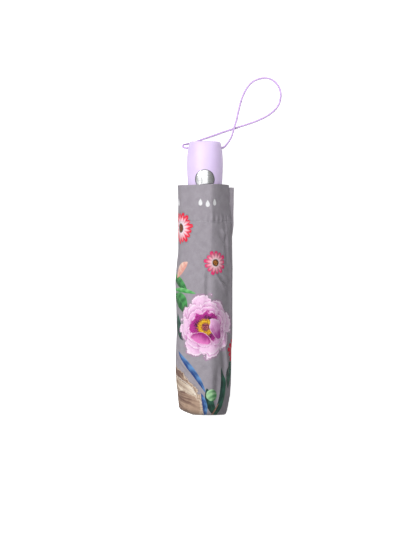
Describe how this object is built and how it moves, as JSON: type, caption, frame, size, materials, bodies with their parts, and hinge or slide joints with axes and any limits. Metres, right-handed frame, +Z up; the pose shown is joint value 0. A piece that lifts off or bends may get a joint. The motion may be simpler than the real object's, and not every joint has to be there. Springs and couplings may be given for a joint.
{
  "type": "folding umbrella",
  "caption": "Compact folding umbrella furled in a printed cloth sleeve, with a soft-touch handle, push button, wrist cord, telescoping shaft and folding ribs.",
  "frame": {"origin": "under the middle of the umbrella, on the surface it lies on", "axes": "+Y along the shaft towards the handle, +Z up, with the push button facing up"},
  "size_m": [0.1077, 0.3471, 0.05],
  "materials": {
    "sleeve_cloth": "woven polyester with a flower print, matt",
    "canopy_cloth": "thin woven pongee with a flower print, slight sheen",
    "handle_plastic": "soft-touch lavender, satin",
    "button_chrome": "polished",
    "shaft_steel": "plated, satin",
    "frame_steel": "black lacquer",
    "black_plastic": "moulded",
    "cord": "braided elastic cord, lavender"
  },
  "bodies": {
    "crown": {"crown_hub": "black_plastic", "crown_cap": "black_plastic", "shaft_upper_tube": "shaft_steel"},
    "sleeve": {"sleeve": "sleeve_cloth"},
    "runner": {"runner": "black_plastic"},
    "shaft_middle": {"shaft_middle_tube": "shaft_steel"},
    "handle": {"handle_shell": "handle_plastic", "handle_end_cap": "handle_plastic", "handle_core": "black_plastic", "shaft_lower_tube": "shaft_steel", "opening_spring": "shaft_steel", "button_spring": "shaft_steel", "wrist_cord": "cord"},
    "button": {"push_button": "button_chrome"},
    "rib_inner_1": {"rib_inner_1": "frame_steel"},
    "rib_middle_1": {"rib_middle_1": "frame_steel"},
    "rib_outer_1": {"rib_outer_1": "frame_steel", "tie_strap": "canopy_cloth"},
    "stretcher_1": {"stretcher_1": "frame_steel"},
    "rib_inner_2": {"rib_inner_2": "frame_steel"},
    "rib_middle_2": {"rib_middle_2": "frame_steel"},
    "rib_outer_2": {"rib_outer_2": "frame_steel"},
    "stretcher_2": {"stretcher_2": "frame_steel"},
    "rib_inner_3": {"rib_inner_3": "frame_steel"},
    "rib_middle_3": {"rib_middle_3": "frame_steel"},
    "rib_outer_3": {"rib_outer_3": "frame_steel"},
    "stretcher_3": {"stretcher_3": "frame_steel"},
    "rib_inner_4": {"rib_inner_4": "frame_steel"},
    "rib_middle_4": {"rib_middle_4": "frame_steel"},
    "rib_outer_4": {"rib_outer_4": "frame_steel"},
    "stretcher_4": {"stretcher_4": "frame_steel"},
    "rib_inner_5": {"rib_inner_5": "frame_steel"},
    "rib_middle_5": {"rib_middle_5": "frame_steel"},
    "rib_outer_5": {"rib_outer_5": "frame_steel"},
    "stretcher_5": {"stretcher_5": "frame_steel"},
    "rib_inner_6": {"rib_inner_6": "frame_steel"},
    "rib_middle_6": {"rib_middle_6": "frame_steel"},
    "rib_outer_6": {"rib_outer_6": "frame_steel"},
    "stretcher_6": {"stretcher_6": "frame_steel"},
    "canopy_inner_1": {"canopy_inner_1": "canopy_cloth"},
    "canopy_middle_1": {"canopy_middle_1": "canopy_cloth"},
    "canopy_outer_1": {"canopy_outer_1": "canopy_cloth"},
    "canopy_inner_2": {"canopy_inner_2": "canopy_cloth"},
    "canopy_middle_2": {"canopy_middle_2": "canopy_cloth"},
    "canopy_outer_2": {"canopy_outer_2": "canopy_cloth"},
    "canopy_inner_3": {"canopy_inner_3": "canopy_cloth"},
    "canopy_middle_3": {"canopy_middle_3": "canopy_cloth"},
    "canopy_outer_3": {"canopy_outer_3": "canopy_cloth"},
    "canopy_inner_4": {"canopy_inner_4": "canopy_cloth"},
    "canopy_middle_4": {"canopy_middle_4": "canopy_cloth"},
    "canopy_outer_4": {"canopy_outer_4": "canopy_cloth"},
    "canopy_inner_5": {"canopy_inner_5": "canopy_cloth"},
    "canopy_middle_5": {"canopy_middle_5": "canopy_cloth"},
    "canopy_outer_5": {"canopy_outer_5": "canopy_cloth"},
    "canopy_inner_6": {"canopy_inner_6": "canopy_cloth"},
    "canopy_middle_6": {"canopy_middle_6": "canopy_cloth"},
    "canopy_outer_6": {"canopy_outer_6": "canopy_cloth"}
  },
  "joints": [
    {"name": "runner_slide", "type": "slide", "parent": "crown", "child": "runner", "axis": [0, -1, 0], "range_m": [0, 0.08748], "deforming": ["sleeve", "opening_spring", "tie_strap", "canopy_inner_1", "canopy_middle_1", "canopy_outer_1", "canopy_inner_2", "canopy_middle_2", "canopy_outer_2", "canopy_inner_3", "canopy_middle_3", "canopy_outer_3", "canopy_inner_4", "canopy_middle_4", "canopy_outer_4", "canopy_inner_5", "canopy_middle_5", "canopy_outer_5", "canopy_inner_6", "canopy_middle_6", "canopy_outer_6"]},
    {"name": "sleeve_slide", "type": "slide", "parent": "crown", "child": "sleeve", "axis": [0, -1, 0], "range_m": [0, 0.24]},
    {"name": "shaft_middle_slide", "type": "slide", "parent": "crown", "child": "shaft_middle", "axis": [0, 1, 0], "range_m": [0, 0.15]},
    {"name": "shaft_lower_slide", "type": "slide", "parent": "shaft_middle", "child": "handle", "axis": [0, 1, 0], "range_m": [0, 0.15]},
    {"name": "button_press", "type": "slide", "parent": "handle", "child": "button", "axis": [0, 0, -1], "range_m": [0, 0.0025], "stiffness_N_per_m": 400, "deforming": ["button_spring"]},
    {"name": "inner_rib_hinge_1", "type": "hinge", "parent": "crown", "child": "rib_inner_1", "pos_m": [0.0112, -0.12, 0.025], "axis": [0, 0, -1], "range_deg": [0, 80]},
    {"name": "middle_rib_hinge_1", "type": "hinge", "parent": "rib_inner_1", "child": "rib_middle_1", "pos_m": [0.01325, 0.06, 0.025], "axis": [0, 0, -1], "range_deg": [-194, 0]},
    {"name": "outer_rib_hinge_1", "type": "hinge", "parent": "rib_middle_1", "child": "rib_outer_1", "pos_m": [0.0169, -0.116, 0.025], "axis": [0, 0, -1], "range_deg": [0, 166]},
    {"name": "stretcher_hinge_1", "type": "hinge", "parent": "runner", "child": "stretcher_1", "pos_m": [0.0112, 0.045, 0.025], "axis": [0, 0, -1], "range_deg": [-46.52, 0]},
    {"name": "inner_rib_hinge_2", "type": "hinge", "parent": "crown", "child": "rib_inner_2", "pos_m": [0.0056, -0.12, 0.0347], "axis": [0.866, 0, -0.5], "range_deg": [0, 80]},
    {"name": "middle_rib_hinge_2", "type": "hinge", "parent": "rib_inner_2", "child": "rib_middle_2", "pos_m": [0.00662, 0.06, 0.03647], "axis": [0.866, 0, -0.5], "range_deg": [-194, 0]},
    {"name": "outer_rib_hinge_2", "type": "hinge", "parent": "rib_middle_2", "child": "rib_outer_2", "pos_m": [0.00845, -0.116, 0.03964], "axis": [0.866, 0, -0.5], "range_deg": [0, 166]},
    {"name": "stretcher_hinge_2", "type": "hinge", "parent": "runner", "child": "stretcher_2", "pos_m": [0.0056, 0.045, 0.0347], "axis": [0.866, 0, -0.5], "range_deg": [-46.52, 0]},
    {"name": "inner_rib_hinge_3", "type": "hinge", "parent": "crown", "child": "rib_inner_3", "pos_m": [-0.0056, -0.12, 0.0347], "axis": [0.866, 0, 0.5], "range_deg": [0, 80]},
    {"name": "middle_rib_hinge_3", "type": "hinge", "parent": "rib_inner_3", "child": "rib_middle_3", "pos_m": [-0.00662, 0.06, 0.03647], "axis": [0.866, 0, 0.5], "range_deg": [-194, 0]},
    {"name": "outer_rib_hinge_3", "type": "hinge", "parent": "rib_middle_3", "child": "rib_outer_3", "pos_m": [-0.00845, -0.116, 0.03964], "axis": [0.866, 0, 0.5], "range_deg": [0, 166]},
    {"name": "stretcher_hinge_3", "type": "hinge", "parent": "runner", "child": "stretcher_3", "pos_m": [-0.0056, 0.045, 0.0347], "axis": [0.866, 0, 0.5], "range_deg": [-46.52, 0]},
    {"name": "inner_rib_hinge_4", "type": "hinge", "parent": "crown", "child": "rib_inner_4", "pos_m": [-0.0112, -0.12, 0.025], "axis": [0, 0, 1], "range_deg": [0, 80]},
    {"name": "middle_rib_hinge_4", "type": "hinge", "parent": "rib_inner_4", "child": "rib_middle_4", "pos_m": [-0.01325, 0.06, 0.025], "axis": [0, 0, 1], "range_deg": [-194, 0]},
    {"name": "outer_rib_hinge_4", "type": "hinge", "parent": "rib_middle_4", "child": "rib_outer_4", "pos_m": [-0.0169, -0.116, 0.025], "axis": [0, 0, 1], "range_deg": [0, 166]},
    {"name": "stretcher_hinge_4", "type": "hinge", "parent": "runner", "child": "stretcher_4", "pos_m": [-0.0112, 0.045, 0.025], "axis": [0, 0, 1], "range_deg": [-46.52, 0]},
    {"name": "inner_rib_hinge_5", "type": "hinge", "parent": "crown", "child": "rib_inner_5", "pos_m": [-0.0056, -0.12, 0.0153], "axis": [-0.866, 0, 0.5], "range_deg": [0, 80]},
    {"name": "middle_rib_hinge_5", "type": "hinge", "parent": "rib_inner_5", "child": "rib_middle_5", "pos_m": [-0.00662, 0.06, 0.01353], "axis": [-0.866, 0, 0.5], "range_deg": [-194, 0]},
    {"name": "outer_rib_hinge_5", "type": "hinge", "parent": "rib_middle_5", "child": "rib_outer_5", "pos_m": [-0.00845, -0.116, 0.01036], "axis": [-0.866, 0, 0.5], "range_deg": [0, 166]},
    {"name": "stretcher_hinge_5", "type": "hinge", "parent": "runner", "child": "stretcher_5", "pos_m": [-0.0056, 0.045, 0.0153], "axis": [-0.866, 0, 0.5], "range_deg": [-46.52, 0]},
    {"name": "inner_rib_hinge_6", "type": "hinge", "parent": "crown", "child": "rib_inner_6", "pos_m": [0.0056, -0.12, 0.0153], "axis": [-0.866, 0, -0.5], "range_deg": [0, 80]},
    {"name": "middle_rib_hinge_6", "type": "hinge", "parent": "rib_inner_6", "child": "rib_middle_6", "pos_m": [0.00662, 0.06, 0.01353], "axis": [-0.866, 0, -0.5], "range_deg": [-194, 0]},
    {"name": "outer_rib_hinge_6", "type": "hinge", "parent": "rib_middle_6", "child": "rib_outer_6", "pos_m": [0.00845, -0.116, 0.01036], "axis": [-0.866, 0, -0.5], "range_deg": [0, 166]},
    {"name": "stretcher_hinge_6", "type": "hinge", "parent": "runner", "child": "stretcher_6", "pos_m": [0.0056, 0.045, 0.0153], "axis": [-0.866, 0, -0.5], "range_deg": [-46.52, 0]},
    {"name": "inner_cloth_spread_1", "type": "hinge", "parent": "rib_inner_1", "child": "canopy_inner_1", "pos_m": [-0.00342, -0.12879, 0.025], "axis": [0.9848, -0.1736, 0], "range_deg": [0, 60]},
    {"name": "middle_cloth_spread_1", "type": "hinge", "parent": "rib_middle_1", "child": "canopy_middle_1", "pos_m": [0.12412, 0.21733, 0.025], "axis": [-0.9135, 0.4067, 0], "range_deg": [0, 60]},
    {"name": "outer_cloth_spread_1", "type": "hinge", "parent": "rib_outer_1", "child": "canopy_outer_1", "pos_m": [-0.24095, -0.35632, 0.025], "axis": [0.788, -0.6157, 0], "range_deg": [0, 60]},
    {"name": "inner_cloth_spread_2", "type": "hinge", "parent": "rib_inner_2", "child": "canopy_inner_2", "pos_m": [-0.00171, -0.12879, 0.02204], "axis": [0.4924, -0.1736, 0.8529], "range_deg": [0, 60]},
    {"name": "middle_cloth_spread_2", "type": "hinge", "parent": "rib_middle_2", "child": "canopy_middle_2", "pos_m": [0.06206, 0.21733, 0.13249], "axis": [-0.4568, 0.4067, -0.7912], "range_deg": [0, 60]},
    {"name": "outer_cloth_spread_2", "type": "hinge", "parent": "rib_outer_2", "child": "canopy_outer_2", "pos_m": [-0.12047, -0.35632, -0.18367], "axis": [0.394, -0.6157, 0.6824], "range_deg": [0, 60]},
    {"name": "inner_cloth_spread_3", "type": "hinge", "parent": "rib_inner_3", "child": "canopy_inner_3", "pos_m": [0.00171, -0.12879, 0.02204], "axis": [-0.4924, -0.1736, 0.8529], "range_deg": [0, 60]},
    {"name": "middle_cloth_spread_3", "type": "hinge", "parent": "rib_middle_3", "child": "canopy_middle_3", "pos_m": [-0.06206, 0.21733, 0.13249], "axis": [0.4568, 0.4067, -0.7912], "range_deg": [0, 60]},
    {"name": "outer_cloth_spread_3", "type": "hinge", "parent": "rib_outer_3", "child": "canopy_outer_3", "pos_m": [0.12047, -0.35632, -0.18367], "axis": [-0.394, -0.6157, 0.6824], "range_deg": [0, 60]},
    {"name": "inner_cloth_spread_4", "type": "hinge", "parent": "rib_inner_4", "child": "canopy_inner_4", "pos_m": [0.00342, -0.12879, 0.025], "axis": [-0.9848, -0.1736, 0], "range_deg": [0, 60]},
    {"name": "middle_cloth_spread_4", "type": "hinge", "parent": "rib_middle_4", "child": "canopy_middle_4", "pos_m": [-0.12412, 0.21733, 0.025], "axis": [0.9135, 0.4067, 0], "range_deg": [0, 60]},
    {"name": "outer_cloth_spread_4", "type": "hinge", "parent": "rib_outer_4", "child": "canopy_outer_4", "pos_m": [0.24095, -0.35632, 0.025], "axis": [-0.788, -0.6157, 0], "range_deg": [0, 60]},
    {"name": "inner_cloth_spread_5", "type": "hinge", "parent": "rib_inner_5", "child": "canopy_inner_5", "pos_m": [0.00171, -0.12879, 0.02796], "axis": [-0.4924, -0.1736, -0.8529], "range_deg": [0, 60]},
    {"name": "middle_cloth_spread_5", "type": "hinge", "parent": "rib_middle_5", "child": "canopy_middle_5", "pos_m": [-0.06206, 0.21733, -0.08249], "axis": [0.4568, 0.4067, 0.7912], "range_deg": [0, 60]},
    {"name": "outer_cloth_spread_5", "type": "hinge", "parent": "rib_outer_5", "child": "canopy_outer_5", "pos_m": [0.12047, -0.35632, 0.23367], "axis": [-0.394, -0.6157, -0.6824], "range_deg": [0, 60]},
    {"name": "inner_cloth_spread_6", "type": "hinge", "parent": "rib_inner_6", "child": "canopy_inner_6", "pos_m": [-0.00171, -0.12879, 0.02796], "axis": [0.4924, -0.1736, -0.8529], "range_deg": [0, 60]},
    {"name": "middle_cloth_spread_6", "type": "hinge", "parent": "rib_middle_6", "child": "canopy_middle_6", "pos_m": [0.06206, 0.21733, -0.08249], "axis": [-0.4568, 0.4067, 0.7912], "range_deg": [0, 60]},
    {"name": "outer_cloth_spread_6", "type": "hinge", "parent": "rib_outer_6", "child": "canopy_outer_6", "pos_m": [-0.12047, -0.35632, 0.23367], "axis": [0.394, -0.6157, -0.6824], "range_deg": [0, 60]}
  ],
  "couplings": [
    {"joint": "sleeve_slide", "follows": "runner_slide", "ratio": 2.7435},
    {"joint": "shaft_middle_slide", "follows": "runner_slide", "ratio": 1.7147},
    {"joint": "shaft_lower_slide", "follows": "runner_slide", "ratio": 1.7147},
    {"joint": "inner_rib_hinge_1", "follows": "runner_slide", "rad_per_m": 15.961},
    {"joint": "middle_rib_hinge_1", "follows": "runner_slide", "rad_per_m": -38.706},
    {"joint": "outer_rib_hinge_1", "follows": "runner_slide", "rad_per_m": 33.12},
    {"joint": "stretcher_hinge_1", "follows": "runner_slide", "rad_per_m": -9.282},
    {"joint": "inner_rib_hinge_2", "follows": "runner_slide", "rad_per_m": 15.961},
    {"joint": "middle_rib_hinge_2", "follows": "runner_slide", "rad_per_m": -38.706},
    {"joint": "outer_rib_hinge_2", "follows": "runner_slide", "rad_per_m": 33.12},
    {"joint": "stretcher_hinge_2", "follows": "runner_slide", "rad_per_m": -9.282},
    {"joint": "inner_rib_hinge_3", "follows": "runner_slide", "rad_per_m": 15.961},
    {"joint": "middle_rib_hinge_3", "follows": "runner_slide", "rad_per_m": -38.706},
    {"joint": "outer_rib_hinge_3", "follows": "runner_slide", "rad_per_m": 33.12},
    {"joint": "stretcher_hinge_3", "follows": "runner_slide", "rad_per_m": -9.282},
    {"joint": "inner_rib_hinge_4", "follows": "runner_slide", "rad_per_m": 15.961},
    {"joint": "middle_rib_hinge_4", "follows": "runner_slide", "rad_per_m": -38.706},
    {"joint": "outer_rib_hinge_4", "follows": "runner_slide", "rad_per_m": 33.12},
    {"joint": "stretcher_hinge_4", "follows": "runner_slide", "rad_per_m": -9.282},
    {"joint": "inner_rib_hinge_5", "follows": "runner_slide", "rad_per_m": 15.961},
    {"joint": "middle_rib_hinge_5", "follows": "runner_slide", "rad_per_m": -38.706},
    {"joint": "outer_rib_hinge_5", "follows": "runner_slide", "rad_per_m": 33.12},
    {"joint": "stretcher_hinge_5", "follows": "runner_slide", "rad_per_m": -9.282},
    {"joint": "inner_rib_hinge_6", "follows": "runner_slide", "rad_per_m": 15.961},
    {"joint": "middle_rib_hinge_6", "follows": "runner_slide", "rad_per_m": -38.706},
    {"joint": "outer_rib_hinge_6", "follows": "runner_slide", "rad_per_m": 33.12},
    {"joint": "stretcher_hinge_6", "follows": "runner_slide", "rad_per_m": -9.282},
    {"joint": "inner_cloth_spread_1", "follows": "runner_slide", "rad_per_m": 11.971},
    {"joint": "middle_cloth_spread_1", "follows": "runner_slide", "rad_per_m": 11.971},
    {"joint": "outer_cloth_spread_1", "follows": "runner_slide", "rad_per_m": 11.971},
    {"joint": "inner_cloth_spread_2", "follows": "runner_slide", "rad_per_m": 11.971},
    {"joint": "middle_cloth_spread_2", "follows": "runner_slide", "rad_per_m": 11.971},
    {"joint": "outer_cloth_spread_2", "follows": "runner_slide", "rad_per_m": 11.971},
    {"joint": "inner_cloth_spread_3", "follows": "runner_slide", "rad_per_m": 11.971},
    {"joint": "middle_cloth_spread_3", "follows": "runner_slide", "rad_per_m": 11.971},
    {"joint": "outer_cloth_spread_3", "follows": "runner_slide", "rad_per_m": 11.971},
    {"joint": "inner_cloth_spread_4", "follows": "runner_slide", "rad_per_m": 11.971},
    {"joint": "middle_cloth_spread_4", "follows": "runner_slide", "rad_per_m": 11.971},
    {"joint": "outer_cloth_spread_4", "follows": "runner_slide", "rad_per_m": 11.971},
    {"joint": "inner_cloth_spread_5", "follows": "runner_slide", "rad_per_m": 11.971},
    {"joint": "middle_cloth_spread_5", "follows": "runner_slide", "rad_per_m": 11.971},
    {"joint": "outer_cloth_spread_5", "follows": "runner_slide", "rad_per_m": 11.971},
    {"joint": "inner_cloth_spread_6", "follows": "runner_slide", "rad_per_m": 11.971},
    {"joint": "middle_cloth_spread_6", "follows": "runner_slide", "rad_per_m": 11.971},
    {"joint": "outer_cloth_spread_6", "follows": "runner_slide", "rad_per_m": 11.971}
  ]
}
